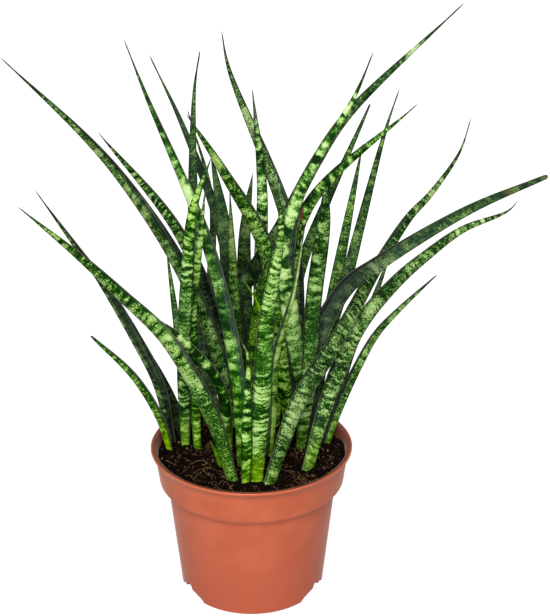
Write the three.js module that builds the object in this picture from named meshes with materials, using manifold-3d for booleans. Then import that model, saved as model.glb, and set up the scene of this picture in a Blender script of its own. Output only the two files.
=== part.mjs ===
// A clump of cylindrical snake plant growing in its 12 cm nursery pot.
// Millimetres, +Z up. The origin is the middle of the pot's underside, on the surface it stands on,
// and -Y is the front. Every leaf, the soil and the pot are separate closed solids.

import * as THREE from 'three';
import { mergeVertices } from 'three/addons/utils/BufferGeometryUtils.js';
import Module from 'manifold-3d';

const wasm = await Module();
wasm.setup();
const { Manifold, Mesh } = wasm;

// ---------------------------------------------------------------- driving dimensions

const potHeight = 92;
const potBaseRadius = 43.5;
const potWall = 1;
const potFloor = 1.6;
const potSides = 48;
const lipRadius = 60;
const lipHeight = 1.3;
const lipRound = 0.4;
const rimFlare = 1.6;
const collarTop = { radius: 57.6, z: potHeight - lipHeight };
const collarFoot = { radius: 55.2, z: 70.3 };
const stepFoot = { radius: 50.4, z: 67.5 };
const footRound = 0.8;

const drainAngles = [-30, 90, 210];
const drainArch = { width: 27, height: 5.5, innerRadius: 35, outerRadius: 50 };
const drainArchSteps = 12;
const drainHole = { radius: 3, fromAxis: 39.5, depth: 14, sides: 20 };
const cutBeyond = 1;

const gap = 0.3;
const soilLevel = 86;
const soilCrown = { height: 0.6, radius: 20 };
const leafBuried = 7;
const socketRise = 6;

// Across a leaf: [sideways, towards the rounded back], as shares of the leaf's width.
const backOutline = [
  [-0.5, 0], [-0.45, 0.16], [-0.28, 0.34], [0, 0.41], [0.28, 0.34], [0.45, 0.16], [0.5, 0],
];
const channelOutline = [[0.26, 0.09], [0, 0.14], [-0.26, 0.09]];
const widestAt = 0.28;
const baseShare = 0.68;
const midDepth = 0.2;
const roundTipFrom = 0.75;
const roundTipDepth = -0.05;
const bluntEndReach = 1.5;
const ringSpacing = 13;
const ringSteps = { least: 4, most: 18 };
const weldDistance = 1e-4;

// ---------------------------------------------------------------- the leaves
// width: the blade at its widest. root: where the midrib leaves the soil, [x, y].
// through: points of the midrib on the way up. tip: its end.
// back: the way the rounded back faces, in degrees from +X towards +Y, so -90 is the front.
// taper: above the usual one the blade stays broad for longer, below it narrows early to a thread.
// end: the share of the width that a blunt leaf keeps at its tip. The others end in a point.

const usualTaper = 1.6;

const leaves = [
  // front clump, rooted close behind the front of the rim
  { name: 'leaf_front_1', width: 10.5, back: -110, taper: 2, root: [-11.5, -34.5],
    through: [[-22, -34, 125], [-46, -34, 174], [-70, -34, 201], [-91, -34, 223]], tip: [-122, -34, 252] },
  { name: 'leaf_front_2', width: 6.5, back: -90, root: [-3.6, -38],
    through: [[-3, -41, 107], [-2, -48, 146], [-2, -52, 174]], tip: [-6, -54, 184] },
  { name: 'leaf_front_3', width: 10.5, back: -80, taper: 2, root: [3, -36],
    through: [[6, -42, 140], [9, -47, 192], [16, -54, 245]], tip: [14, -60, 271] },
  { name: 'leaf_front_4', width: 12, back: -65, taper: 1.3, root: [11, -36],
    through: [[27, -16, 124], [53, 6, 159], [75, 30, 191], [94, 42, 218], [108, 54, 229], [126, 67, 251]],
    tip: [134, 80, 269] },
  { name: 'leaf_front_5', width: 10, back: -120, root: [-6, -14],
    through: [[-9, -6, 142], [-24, 6, 214], [-57, 17, 300]], tip: [-68, 25, 328] },
  { name: 'leaf_front_6', width: 7.3, back: -110, root: [-14, 0],
    through: [[-18.6, -8.4, 134], [-41, -15, 168], [-61, -21, 186]], tip: [-79, -26, 205] },

  // left clump, rooted at the left of the pot
  { name: 'leaf_left_1', width: 8, back: -95, taper: 3.4, root: [-40, 9],
    through: [[-39, -2, 150], [-35, -13, 206], [-31, -20, 243]], tip: [-20, -27, 276] },
  { name: 'leaf_left_2', width: 7, back: -75, taper: 2.6, root: [-32.5, 8],
    through: [[-33.5, 6.5, 132], [-33.5, 1, 176], [-28, -5, 220]], tip: [-23.8, -10, 255] },
  { name: 'leaf_left_3', width: 9, back: -120, root: [-49, 13],
    through: [[-55, 8, 127], [-67, 3, 159], [-85, -2, 198], [-95, -7, 217]], tip: [-116, -12, 254] },
  { name: 'leaf_left_4', width: 7.5, back: 120, root: [-42, 21],
    through: [[-49, 21, 110], [-63, 20, 143]], tip: [-81, 20, 178] },
  { name: 'leaf_left_5', width: 6.2, back: -120, taper: 2.6, end: 0.25, root: [-50, 5],
    through: [[-54, 2, 106], [-68, -3, 137]], tip: [-91, -8, 166] },
  { name: 'leaf_left_6', width: 5, back: 90, taper: 2.6, root: [-34, 32],
    through: [[-41, 34, 115], [-45, 39, 156]], tip: [-50, 44, 202] },

  // right clump, rooted at the right of the pot
  { name: 'leaf_right_1', width: 12, back: -60, taper: 1.8, root: [34, -18],
    through: [[46, 4, 118], [65, 23, 156], [88, 40, 178], [106, 49, 191], [129, 58, 205], [157, 66, 214]],
    tip: [165, 75, 218] },
  { name: 'leaf_right_2', width: 6.8, back: -65, taper: 1.8, end: 0.12, root: [46, 10],
    through: [[54, 19, 106], [66, 28, 130], [77, 37, 146], [91, 46, 158]], tip: [114, 55, 177] },
  { name: 'leaf_right_3', width: 9.5, back: -85, taper: 7, end: 0.2, root: [30, 7],
    through: [[34, 3, 131], [36, -4, 183], [41, -12, 237]], tip: [41, -14, 254] },
  { name: 'leaf_right_4', width: 5.4, back: -70, root: [11, -4],
    through: [[13, -8, 120], [14, -11, 152], [24, -17, 195]], tip: [30, -22, 238] },
  { name: 'leaf_right_5', width: 8, back: 80, taper: 2.4, root: [38, 33],
    through: [[42, 43, 119], [49, 52, 155]], tip: [69, 80, 254] },
  { name: 'leaf_right_6', width: 8.5, back: 75, root: [38, 22],
    through: [[44, 34, 134], [60, 45, 187], [66, 56, 206], [81, 68, 264]], tip: [90, 80, 287] },
  { name: 'leaf_right_7', width: 12.5, back: 100, taper: 1.2, end: 0.22, root: [34, 14],
    through: [[38, 8, 154], [54, 0, 192], [72, -8, 210], [118, -17, 243]], tip: [155, -40, 269] },
  { name: 'leaf_right_8', width: 7, back: 80, root: [46, 20],
    through: [[60, 36, 133], [75, 48, 164]], tip: [88, 60, 198] },
  { name: 'leaf_right_9', width: 5, back: -90, end: 0.3, root: [21, 32.3],
    through: [[23, 31, 145], [27, 31, 195]], tip: [30.5, 31, 229] },
  { name: 'leaf_right_10', width: 10.5, back: -100, taper: 2, root: [29.5, 36],
    through: [[28, 45, 140], [24, 63, 204], [-12, 84, 299]], tip: [-16, 90, 320] },
  { name: 'leaf_right_11', width: 10.8, back: -85, root: [32, 25],
    through: [[31, 25, 118], [25, 22, 157], [21, 19, 195], [27.6, 14, 241], [58, 10, 300]],
    tip: [67, 8, 324] },

  // back clump, rooted behind the middle of the pot
  { name: 'leaf_back_1', width: 11.5, back: -115, taper: 1.5, root: [-9, 30],
    through: [[-23, 29, 145], [-44, 28, 199], [-72, 28, 246], [-92, 27, 272]], tip: [-136, 26, 318] },
  { name: 'leaf_back_2', width: 10.5, back: -130, taper: 2.6, root: [-14.5, 43.5],
    through: [[-22, 50, 149], [-44, 54, 207]], tip: [-89, 60, 267] },
  { name: 'leaf_back_3', width: 8.5, back: 110, root: [-1, 32],
    through: [[-6, 33, 140], [-17, 36, 213], [-38, 41, 275]], tip: [-56, 46, 315] },
  { name: 'leaf_back_4', width: 8.7, back: 95, root: [-27, 39],
    through: [[-32, 38, 163], [-33, 34, 212], [-30, 18, 300]], tip: [-26, 10, 325] },
  { name: 'leaf_back_5', width: 6, back: 100, root: [-23, 44.5],
    through: [[-26, 57, 146], [-23.3, 72, 221]], tip: [-37, 84, 274] },
  { name: 'leaf_back_6', width: 11.5, back: -110, taper: 2.6, root: [24, 28],
    through: [[17, 27.5, 138], [9.4, 24, 204], [-15.4, 19, 255]], tip: [-34.5, 14, 289] },
  { name: 'leaf_back_7', width: 8.9, back: 95, taper: 4.6, root: [-6, 22.5],
    through: [[-11, 24, 150], [-15, 25, 221], [-19, 28, 246]], tip: [-22, 32, 262] },
  { name: 'leaf_back_8', width: 8, back: -90, taper: 2.2, root: [-5, 16],
    through: [[-8, 11, 155], [-10, 8, 205]], tip: [-11, 6, 248] },
  { name: 'leaf_back_9', width: 8.4, back: -90, taper: 2.8, root: [6.7, 48.5],
    through: [[6, 57, 174], [7.5, 64, 230]], tip: [2, 70, 290] },
  { name: 'leaf_back_10', width: 9.6, back: 90, taper: 3.6, root: [-3, 42],
    through: [[-3.5, 61, 147], [-3, 68, 203]], tip: [2, 75, 237] },
  { name: 'leaf_back_11', width: 9.8, back: -80, root: [-12.5, 50.5],
    through: [[-12, 53, 150], [19.3, 47, 212], [39, 42, 253], [56, 33, 283]], tip: [113, 0, 351] },
  { name: 'leaf_back_12', width: 8, back: 85, taper: 1.8, end: 0.15, root: [14, 46],
    through: [[25, 61, 148], [33, 71, 182]], tip: [74, 95, 274] },
  { name: 'leaf_back_13', width: 10.3, back: -80, taper: 1.9, root: [14.5, 34],
    through: [[20, 42, 159], [35, 53, 222]], tip: [100, 68, 281] },
  { name: 'leaf_back_14', width: 9, back: -90, taper: 2.4, root: [4, 6],
    through: [[0, 6, 114], [5, 11, 179]], tip: [14, 16, 214] },

  // young shoots and one dead stub
  { name: 'shoot_middle', width: 5, back: -90, root: [-1, -2],
    through: [[5, -3, 122], [5, -4, 180]], tip: [-5, -4, 200] },
  { name: 'shoot_left', width: 3.5, back: -90, root: [-18, -17],
    through: [[-21, -17, 95]], tip: [-24, -17, 103] },
  { name: 'dry_stub', width: 3.5, back: -90, root: [-19, 24],
    through: [[-19, 23, 102]], tip: [-21, 22, 113] },
];

// ---------------------------------------------------------------- closed meshes and solids

function toSolid(geometry) {
  const bare = geometry.clone();
  bare.deleteAttribute('normal');
  bare.deleteAttribute('uv');
  const merged = mergeVertices(bare, weldDistance);
  return new Manifold(new Mesh({
    numProp: 3,
    vertProperties: new Float32Array(merged.attributes.position.array),
    triVerts: new Uint32Array(merged.index.array),
  }));
}

function toGeometry(solid) {
  const mesh = solid.getMesh();
  const geometry = new THREE.BufferGeometry();
  geometry.setAttribute('position', new THREE.BufferAttribute(new Float32Array(mesh.vertProperties), 3));
  geometry.setIndex(new THREE.BufferAttribute(new Uint32Array(mesh.triVerts), 1));
  return geometry;
}

// A solid of revolution about +Z from [radius, z] points that start and end on the axis.
function turned(profile) {
  const points = profile.map(([radius, z]) => new THREE.Vector2(radius, z));
  return toSolid(new THREE.LatheGeometry(points, potSides).rotateX(Math.PI / 2));
}

// ---------------------------------------------------------------- pot

// The outside of the wall below the lip.
const outerWall = [{ radius: potBaseRadius, z: footRound }, stepFoot, collarFoot, collarTop];

// The same line with the flare of the rim's inner edge, carried on straight up past it.
const wallLine = [
  ...outerWall,
  { radius: collarTop.radius + rimFlare, z: potHeight },
  { radius: collarTop.radius + rimFlare, z: potHeight + 2 * cutBeyond },
];

// The wall line moved into the pot by a distance square to it, with mitred corners.
function wallLineInside(distance) {
  const inward = wallLine.slice(1).map(({ radius, z }, step) => (
    new THREE.Vector2(wallLine[step].z - z, radius - wallLine[step].radius).normalize()
  ));
  return wallLine.map(({ radius, z }, corner) => {
    const before = inward[Math.max(corner - 1, 0)];
    const after = inward[Math.min(corner, inward.length - 1)];
    const mitre = distance / (1 + before.dot(after));
    return { radius: radius + (before.x + after.x) * mitre, z: z + (before.y + after.y) * mitre };
  });
}

function radiusAt(line, z) {
  const upper = line.findIndex((point) => point.z >= z);
  const [low, high] = line.slice(upper - 1);
  return THREE.MathUtils.mapLinear(z, low.z, high.z, low.radius, high.radius);
}

// The hollow of the pot from the axis out and up to `top`, shrunk by `inset` at wall and floor.
function hollowProfile(inset, top) {
  const line = wallLineInside(potWall + inset);
  const floor = potFloor + inset;
  const between = line.filter(({ z }) => z > floor && z < top);
  return [
    [0, floor],
    [radiusAt(line, floor), floor],
    ...between.map(({ radius, z }) => [radius, z]),
    [radiusAt(line, top), top],
  ];
}

// A low arched tunnel that runs in from the pot's side, grown by `extra` all round.
function drainTunnel(angle, extra) {
  const arch = new THREE.Shape();
  const halfWidth = drainArch.width / 2 + extra;
  const height = drainArch.height + extra;
  arch.moveTo(-halfWidth, -cutBeyond);
  arch.lineTo(halfWidth, -cutBeyond);
  for (let step = 0; step <= drainArchSteps; step += 1) {
    const turn = (Math.PI * step) / drainArchSteps;
    arch.lineTo(halfWidth * Math.cos(turn), height * Math.sin(turn));
  }
  arch.closePath();
  const start = drainArch.innerRadius - extra;
  const tunnel = new THREE.ExtrudeGeometry(arch, {
    depth: drainArch.outerRadius - start,
    bevelEnabled: false,
  });
  tunnel.translate(0, 0, start);
  tunnel.rotateX(Math.PI / 2);
  tunnel.rotateZ(Math.PI / 2 + THREE.MathUtils.degToRad(angle));
  return toSolid(tunnel);
}

// A round hole along the pot's radius, through the back wall of a tunnel.
function drainHoleCutter(angle) {
  const { radius, fromAxis, depth, sides } = drainHole;
  const hole = new THREE.CylinderGeometry(radius, radius, depth, sides);
  hole.rotateX(Math.PI / 2);
  hole.translate(fromAxis, 0, drainArch.height);
  hole.rotateZ(THREE.MathUtils.degToRad(angle));
  return toSolid(hole);
}

function makePot() {
  let body = turned([
    [0, 0],
    [potBaseRadius - footRound, 0],
    ...outerWall.map(({ radius, z }) => [radius, z]),
    [lipRadius - lipRound, collarTop.z],
    [lipRadius, collarTop.z + lipRound],
    [lipRadius, potHeight - lipRound],
    [lipRadius - lipRound, potHeight],
    [0, potHeight],
  ]);
  const above = potHeight + cutBeyond;
  let hollow = turned([...hollowProfile(0, above), [0, above]]);
  for (const angle of drainAngles) {
    body = body.subtract(drainTunnel(angle, 0));
    hollow = hollow.subtract(drainTunnel(angle, potWall));
  }
  let pot = body.subtract(hollow);
  for (const angle of drainAngles) pot = pot.subtract(drainHoleCutter(angle));
  return toGeometry(pot);
}

// ---------------------------------------------------------------- leaves

function smooth(from, to, value) {
  const share = THREE.MathUtils.clamp((value - from) / (to - from), 0, 1);
  return share * share * (3 - 2 * share);
}

// The leaf's width at a share `along` of its length: a narrow neck in the soil, widest low down,
// then a taper to its tip.
function widthAt(leaf, along) {
  const neck = baseShare + (1 - baseShare) * smooth(0, widestAt, along);
  const fall = Math.max(0, (along - widestAt) / (1 - widestAt));
  const lost = (1 - (leaf.end ?? 0)) * fall ** (leaf.taper ?? usualTaper);
  return leaf.width * neck * (1 - lost);
}

// The midrib, with a straight stretch below the soil that carries on the way it stands.
function midrib(leaf) {
  const root = new THREE.Vector3(...leaf.root, soilLevel);
  const above = leaf.through.map((point) => new THREE.Vector3(...point));
  const down = root.clone().sub(above[0]).normalize().multiplyScalar(leafBuried);
  const points = [root.clone().add(down), root, ...above, new THREE.Vector3(...leaf.tip)];
  return new THREE.CatmullRomCurve3(points, false, 'centripetal');
}

// The outline across the leaf, in millimetres from its midrib: [sideways, towards the rounded back].
function bladeOutline(leaf, along) {
  const width = widthAt(leaf, along);
  const filled = smooth(roundTipFrom, 1, along);
  const channel = channelOutline.map(([across, deep]) => (
    [across, THREE.MathUtils.lerp(deep, roundTipDepth, filled)]
  ));
  return [...backOutline, ...channel].map(([across, deep]) => [across * width, (deep - midDepth) * width]);
}

// The same outline with a flat front in place of the channel, grown outwards by the gap.
function socketOutline(leaf, along) {
  const width = widthAt(leaf, along);
  const corners = backOutline.map(([across, deep]) => [across * width, (deep - midDepth) * width]);
  const edges = corners.map(([x, y], corner) => {
    const [nextX, nextY] = corners[(corner + 1) % corners.length];
    return new THREE.Vector2(y - nextY, nextX - x).normalize();
  });
  return corners.map(([x, y], corner) => {
    const before = edges[(corner + edges.length - 1) % edges.length];
    const after = edges[corner];
    const out = before.clone().add(after);
    out.multiplyScalar(gap / (1 + before.dot(after)));
    return [x + out.x, y + out.y];
  });
}

// An outline placed across the leaf at one point of its midrib.
function placeAcross(leaf, curve, along, outline) {
  const centre = curve.getPointAt(along);
  const forward = curve.getTangentAt(along);
  const turn = THREE.MathUtils.degToRad(leaf.back);
  const back = new THREE.Vector3(Math.cos(turn), Math.sin(turn), 0);
  back.addScaledVector(forward, -back.dot(forward)).normalize();
  const side = new THREE.Vector3().crossVectors(forward, back);
  return outline.map(([across, deep]) => (
    centre.clone().addScaledVector(side, across).addScaledVector(back, deep)
  ));
}

// Rings of points joined into a closed skin: a fan over the first ring, and a fan to the last point.
function skin(rings, first, last) {
  const corners = rings[0].length;
  const points = [first, ...rings.flat(), last];
  const faces = [];
  for (let corner = 0; corner < corners; corner += 1) {
    const next = (corner + 1) % corners;
    faces.push(0, 1 + next, 1 + corner);
    for (let ring = 0; ring < rings.length - 1; ring += 1) {
      const low = 1 + ring * corners;
      const high = low + corners;
      faces.push(low + corner, low + next, high + next);
      faces.push(low + corner, high + next, high + corner);
    }
    const top = 1 + (rings.length - 1) * corners;
    faces.push(top + corner, top + next, points.length - 1);
  }
  const geometry = new THREE.BufferGeometry().setFromPoints(points);
  geometry.setIndex(faces);
  return geometry;
}

// The share of the leaf's length that its socket reaches to, just above the soil.
function footReach(curve) {
  return (leafBuried + socketRise) / curve.getLength();
}

function makeLeaf(leaf) {
  const curve = midrib(leaf);
  const foot = footReach(curve);
  const steps = THREE.MathUtils.clamp(
    Math.round(curve.getLength() / ringSpacing), ringSteps.least, ringSteps.most,
  );
  const stations = [0];
  for (let step = 0; step < steps; step += 1) stations.push(foot + ((1 - foot) * step) / steps);
  if (leaf.end) stations.push(1 - bluntEndReach / curve.getLength());
  const rings = stations.map((along) => placeAcross(leaf, curve, along, bladeOutline(leaf, along)));
  return skin(rings, curve.getPointAt(0), curve.getPointAt(1));
}

// The space that a leaf's foot takes in the soil: straight, and larger by the gap all round.
function makeSocket(leaf) {
  const curve = midrib(leaf);
  const ends = [0, footReach(curve)];
  const rings = ends.map((along) => placeAcross(leaf, curve, along, socketOutline(leaf, along)));
  const lower = curve.getTangentAt(0).multiplyScalar(-gap);
  rings[0].forEach((point) => point.add(lower));
  return toSolid(skin(rings, curve.getPointAt(0).add(lower), curve.getPointAt(ends[1])));
}

// ---------------------------------------------------------------- soil

function makeSoil() {
  const crownLevel = soilLevel + soilCrown.height;
  let soil = turned([
    ...hollowProfile(gap, soilLevel),
    [soilCrown.radius, crownLevel],
    [0, crownLevel],
  ]);
  for (const angle of drainAngles) soil = soil.subtract(drainTunnel(angle, potWall + gap));
  for (const leaf of leaves) soil = soil.subtract(makeSocket(leaf));
  return toGeometry(soil);
}

// ---------------------------------------------------------------- assembly

const plastic = { color: 0xcb6948, roughness: 0.5, metalness: 0 };
const compost = { color: 0x1c130d, roughness: 0.95, metalness: 0 };
const blade = { color: 0x3f7a33, roughness: 0.45, metalness: 0 };
const youngBlade = { color: 0x86b22a, roughness: 0.45, metalness: 0 };
const deadBlade = { color: 0x8a6a42, roughness: 0.85, metalness: 0 };

const group = new THREE.Group();

function add(name, geometry, finish) {
  geometry.computeVertexNormals();
  const mesh = new THREE.Mesh(geometry, new THREE.MeshStandardMaterial(finish));
  mesh.name = name;
  group.add(mesh);
}

add('nursery_pot', makePot(), plastic);
add('soil', makeSoil(), compost);
for (const leaf of leaves) {
  let finish = blade;
  if (leaf.name.startsWith('shoot')) finish = youngBlade;
  if (leaf.name === 'dry_stub') finish = deadBlade;
  add(leaf.name, makeLeaf(leaf), finish);
}

export default group;
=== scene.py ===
# %% [markdown]
# # A snake plant in its nursery pot
#
# The real object is a clump of cylindrical snake plant: forty stiff, half-round leaves that rise
# from dark potting mix in a terracotta-coloured plastic pot. The measured CAD part gives every
# size and place. This lesson builds the visible surfaces on it, in metres, with their finishes.

# %% Load the measured frame
import math

import bpy
import numpy as np
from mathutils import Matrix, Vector


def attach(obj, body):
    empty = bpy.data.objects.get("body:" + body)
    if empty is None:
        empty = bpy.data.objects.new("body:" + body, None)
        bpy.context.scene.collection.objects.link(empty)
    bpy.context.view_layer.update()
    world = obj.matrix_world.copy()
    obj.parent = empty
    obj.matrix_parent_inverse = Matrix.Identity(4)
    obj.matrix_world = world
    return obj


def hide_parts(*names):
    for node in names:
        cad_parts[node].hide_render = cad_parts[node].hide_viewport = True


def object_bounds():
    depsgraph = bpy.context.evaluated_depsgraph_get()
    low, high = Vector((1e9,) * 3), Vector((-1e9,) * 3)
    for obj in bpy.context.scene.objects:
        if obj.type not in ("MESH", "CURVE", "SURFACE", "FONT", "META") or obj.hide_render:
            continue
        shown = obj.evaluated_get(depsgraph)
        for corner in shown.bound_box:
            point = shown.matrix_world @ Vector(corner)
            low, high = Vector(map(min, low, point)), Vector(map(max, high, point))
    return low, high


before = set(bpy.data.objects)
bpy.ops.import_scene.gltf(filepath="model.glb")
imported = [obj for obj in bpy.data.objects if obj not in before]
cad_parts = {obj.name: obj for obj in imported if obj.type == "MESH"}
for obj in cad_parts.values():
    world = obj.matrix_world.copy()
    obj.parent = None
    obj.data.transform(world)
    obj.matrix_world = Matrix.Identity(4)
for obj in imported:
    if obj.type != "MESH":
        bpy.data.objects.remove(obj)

cad_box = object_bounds()
scene = bpy.context.scene
MM = 0.001
print("CAD box in mm", [[round(value / MM, 1) for value in corner] for corner in cad_box])

# %% [markdown]
# ## Camera
#
# A product picture of a potted plant is taken from a little above, so that the rim is an open
# ellipse with the soil in it. A short lens close by would make the front leaves swell. A long lens
# therefore looks from 0.8 m away, 22.6 degrees down.

# %% Camera
CAMERA_PLACE = (0.0, -0.700, 0.470)
CAMERA_PITCH = math.radians(90 - 22.57)
CAMERA_YAW = -0.020
FOCAL_PIXELS, FRAME_HEIGHT, SENSOR = 1326, 616, 36.0

camera = bpy.data.objects.new("camera", bpy.data.cameras.new("camera"))
camera.data.sensor_width = SENSOR
camera.data.lens = FOCAL_PIXELS / FRAME_HEIGHT * SENSOR
camera.location = CAMERA_PLACE
camera.rotation_euler = (CAMERA_PITCH, 0, CAMERA_YAW)
scene.collection.objects.link(camera)
scene.camera = camera
print("lens", round(camera.data.lens, 1), "mm")

# %% [markdown]
# ## Helpers for finishes
#
# Light and finishes are small networks of nodes. These helpers keep them readable: most add one
# kind of node, to the tree that its inputs belong to, and fill or link its sockets.

# %% Node helpers
def fill(made, sockets):
    """Gives each named input of a node its value, or a link where the value is a socket."""
    for socket, value in sockets.items():
        if isinstance(value, bpy.types.NodeSocket):
            made.id_data.links.new(value, made.inputs[socket])
        else:
            made.inputs[socket].default_value = value
    return made


def add_node(tree, kind, sockets=None, **settings):
    """Adds a shader node to a tree, sets its options, then fills its sockets."""
    made = tree.nodes.new("ShaderNode" + kind)
    for option, value in settings.items():
        setattr(made, option, value)
    return fill(made, sockets or {})


def node_after(kind, sockets, **settings):
    """Adds a node to the tree that the sockets linked to it belong to."""
    linked = [value for value in sockets.values() if isinstance(value, bpy.types.NodeSocket)]
    return add_node(linked[0].id_data, kind, sockets, **settings)


def maths(operation, *values, clamp=False):
    """One arithmetic step on values or sockets."""
    sockets = dict(enumerate(values))
    return node_after("Math", sockets, operation=operation, use_clamp=clamp).outputs[0]


def blend_colours(share, low, high):
    """low where share is 0 and high where it is 1."""
    sockets = {"Factor": share, 6: low, 7: high}
    return node_after("Mix", sockets, data_type="RGBA").outputs[2]


def layered(colour, layers):
    """A colour with layers of (share, colour) painted over it, one after the other."""
    for share, over in layers:
        colour = blend_colours(share, colour, over)
    return colour


def step_up(value, low, high, bottom=0.0, top=1.0):
    """bottom below low, top above high, and smooth between."""
    sockets = {"Value": value, "From Min": low, "From Max": high, "To Min": bottom, "To Max": top}
    made = node_after("MapRange", sockets, interpolation_type="SMOOTHSTEP")
    return made.outputs["Result"]


def noise(vector, scale, detail=2.0, roughness=0.5):
    """Cloudy noise from 0 to 1."""
    sockets = {"Vector": vector, "Scale": scale, "Detail": detail, "Roughness": roughness}
    return node_after("TexNoise", sockets).outputs["Fac"]


def streaks(vector, scales, detail=2.0, roughness=0.5):
    """Cloudy noise with a scale of its own along each axis."""
    scaled = node_after("VectorMath", {0: vector, 1: scales}, operation="MULTIPLY")
    return noise(scaled.outputs[0], 1.0, detail, roughness)


def parts(vector):
    """The X, Y and Z of a vector."""
    return node_after("SeparateXYZ", {0: vector}).outputs


def attribute(tree, name, output="Fac"):
    """A number, or with output Vector a vector, stored on the piece's points."""
    return add_node(tree, "Attribute", attribute_name=name).outputs[output]


def object_place(tree):
    """Object coordinates, which are metres in the shared frame."""
    return add_node(tree, "TexCoord").outputs["Object"]


def new_group(name, inputs, outputs):
    """An empty node group with named sockets. Returns it with its input and output nodes."""
    group = bpy.data.node_groups.new(name, "ShaderNodeTree")
    for in_out, sockets in (("INPUT", inputs), ("OUTPUT", outputs)):
        for socket, kind in sockets.items():
            group.interface.new_socket(socket, in_out=in_out, socket_type="NodeSocket" + kind)
    return group, group.nodes.new("NodeGroupInput").outputs, group.nodes.new("NodeGroupOutput").inputs


def placed(group, sockets):
    """Places a node group, fills its sockets and returns its outputs."""
    return node_after("Group", sockets, node_tree=group).outputs


def new_material(name, **sockets):
    """A material with one Principled shader, whose plain sockets are set here."""
    material = bpy.data.materials.new(name)
    material.use_nodes = True
    shader = material.node_tree.nodes["Principled BSDF"]
    for socket, value in sockets.items():
        shader.inputs[socket.replace("_", " ")].default_value = value
    return material, material.node_tree, shader


def bump(height, distance):
    """A normal pushed by a height from 0 to 1, times distance in metres."""
    sockets = {"Height": height, "Distance": distance}
    return node_after("Bump", sockets).outputs["Normal"]


def surface(shader, colour, mask, rough, height, relief):
    """Fills a shader's colour, its roughness, mask x rough[0] + rough[1], and its bump."""
    gloss = maths("MULTIPLY_ADD", mask, *rough)
    bumpy = bump(height, relief)
    fill(shader, {"Base Color": colour, "Roughness": gloss, "Normal": bumpy})


print("finish helpers ready")

# %% [markdown]
# ## Light
#
# A very large soft box in front, in a white room, lights such a picture. What faces the camera is
# bright, and what faces up or back is nearly black, as the leaves' upper edges are. A ring of area
# lamps would fall off with distance. A world that is bright in front and dim behind lights every
# leaf alike, and one broad sun in the same direction adds the soft box's form. Glossy reflections
# see a room that is never quite dark, because its white walls show in them at the silhouettes.

# %% Light
SOFT_BOX = Vector((-0.07, -0.75, 0.64)).normalized()
ROOM_BEHIND, ROOM_FRONT, ROOM_IN_GLOSS, ROOM_TURNS_AT = 0.03, 0.62, 0.38, (-0.45, 0.95)
KEY_STRENGTH, KEY_WIDTH, WHITE = 3.3, math.radians(34), (1, 1, 1, 1)

scene.view_settings.view_transform = "Standard"
scene.view_settings.look = "None"

world = bpy.data.worlds.new("studio")
scene.world = world
world.use_nodes = True
room = world.node_tree
direction = add_node(room, "TexCoord").outputs["Generated"]
facing = add_node(room, "VectorMath", {0: direction, 1: SOFT_BOX}, operation="DOT_PRODUCT")
strength = step_up(facing.outputs["Value"], *ROOM_TURNS_AT, ROOM_BEHIND, ROOM_FRONT)
ray = add_node(room, "LightPath").outputs
mirrored = maths("MULTIPLY", ray["Is Glossy Ray"], ROOM_IN_GLOSS)
strength = maths("MAXIMUM", strength, mirrored)
glow = fill(room.nodes["Background"], {"Color": WHITE, "Strength": strength})
backdrop = add_node(room, "Background", {"Color": WHITE, "Strength": 1.0})
sockets = {0: ray["Is Camera Ray"], 1: glow.outputs[0], 2: backdrop.outputs[0]}
choice = add_node(room, "MixShader", sockets)
fill(room.nodes["World Output"], {"Surface": choice.outputs[0]})

key = bpy.data.objects.new("key", bpy.data.lights.new("key", "SUN"))
key.data.energy = KEY_STRENGTH
key.data.angle = KEY_WIDTH
key.rotation_euler = SOFT_BOX.to_track_quat("Z", "Y").to_euler()
scene.collection.objects.link(key)
print("key light", KEY_STRENGTH, "W/m2, room", ROOM_BEHIND, "to", ROOM_FRONT)

# %% [markdown]
# ## Helpers for shapes
#
# The pot is turned, a leaf is an outline carried along its midrib, and a coir fibre is a thin
# tube. Modifiers could make each in its own way, but all are rings of points joined into a skin,
# so one helper makes them all. The rings are one numpy array, and the faces come from arithmetic
# on the points' numbers.

# %% Rings to skin
def unit(vectors, guard=0.0):
    """Each vector over its own length. A small guard allows for a length of 0."""
    return vectors / (np.linalg.norm(vectors, axis=-1, keepdims=True) + guard)


def full_turn(count):
    """Angles spaced evenly round a circle."""
    return np.arange(count) * math.tau / count


def level_rings(radius, height, angle):
    """Level rings, [ring, corner, xyz]: x = r cos a, y = r sin a, z = the height."""
    return np.stack([radius * np.cos(angle), radius * np.sin(angle), height + 0 * angle], -1)


def skin_faces(rings, columns):
    """Quads and triangles of a closed skin: point 0 fans to the first ring, each ring joins the
    next one corner by corner, and the last ring fans to the last point."""
    corner = np.arange(columns)
    after = (corner + 1) % columns
    first = np.stack([np.zeros_like(corner), 1 + after, 1 + corner], 1)
    low = (1 + np.arange(rings - 1) * columns)[:, None]
    quads = np.stack([low + corner, low + after, low + after + columns, low + corner + columns], -1)
    top = 1 + (rings - 1) * columns
    last = np.stack([top + corner, top + after, np.full_like(corner, top + columns)], 1)
    return quads.reshape(-1, 4), np.concatenate([first, last])


def new_piece(name, points, quads, triangles):
    """A mesh object from points in millimetres and their faces. If the volume that the faces
    close is below zero, they point inwards and are reversed."""
    halves = np.concatenate([triangles, quads[:, :3], quads[:, [0, 2, 3]]])
    a, b, c = (points[halves[:, k]] for k in range(3))
    if np.einsum("ij,ij->", a, np.cross(b, c)) < 0:
        quads, triangles = quads[:, ::-1], triangles[:, ::-1]
    mesh = bpy.data.meshes.new(name)
    mesh.from_pydata(points * MM, [], quads.tolist() + triangles.tolist())
    mesh.polygons.foreach_set("use_smooth", np.ones(len(mesh.polygons), bool))
    mesh.update()
    piece = bpy.data.objects.new(name, mesh)
    scene.collection.objects.link(piece)
    return piece


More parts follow.
